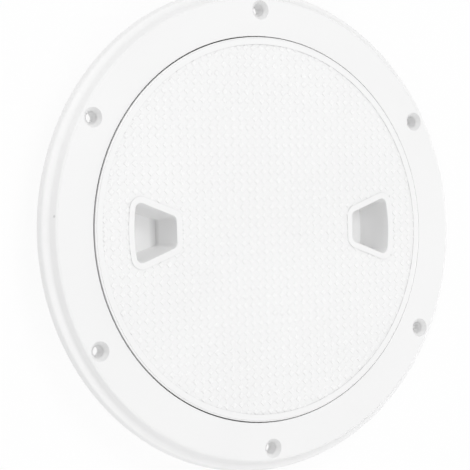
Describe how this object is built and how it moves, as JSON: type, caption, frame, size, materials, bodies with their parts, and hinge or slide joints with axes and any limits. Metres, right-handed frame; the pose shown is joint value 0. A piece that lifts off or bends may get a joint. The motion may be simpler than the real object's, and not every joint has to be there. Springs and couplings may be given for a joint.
{
  "type": "deck inspection plate",
  "caption": "Round screw-in access plate for a boat deck: flanged ring with countersunk holes, threaded lid with wedge finger pockets and an anti-slip field, and a rubber seal.",
  "frame": {"origin": "on the plate's axis, level with the deck: the centre of the circle of screw holes at the flange's underside", "axes": "+Z out of the deck along the plate's axis; X through the two finger pockets"},
  "size_m": [0.2562, 0.2562, 0.0329],
  "materials": {
    "ring_plastic": "moulded white plastic, satin gloss",
    "lid_plastic": "moulded white plastic, satin gloss, fine anti-slip relief on top",
    "seal_rubber": "smooth black rubber"
  },
  "bodies": {
    "ring": {"deck_ring": "ring_plastic"},
    "seal": {"seal_ring": "seal_rubber"},
    "lid": {"lid": "lid_plastic"}
  },
  "joints": [
    {"name": "lid_rise", "type": "slide", "parent": "ring", "child": "seal", "axis": [0, 0, 1], "range_m": [0, 0.01301]},
    {"name": "lid_turn", "type": "hinge", "parent": "seal", "child": "lid", "pos_m": [0, 0, 0], "axis": [0, 0, 1], "range_deg": [0, 780]}
  ],
  "couplings": [
    {"joint": "lid_rise", "follows": "lid_turn", "m_per_rad": 0.00095493}
  ]
}
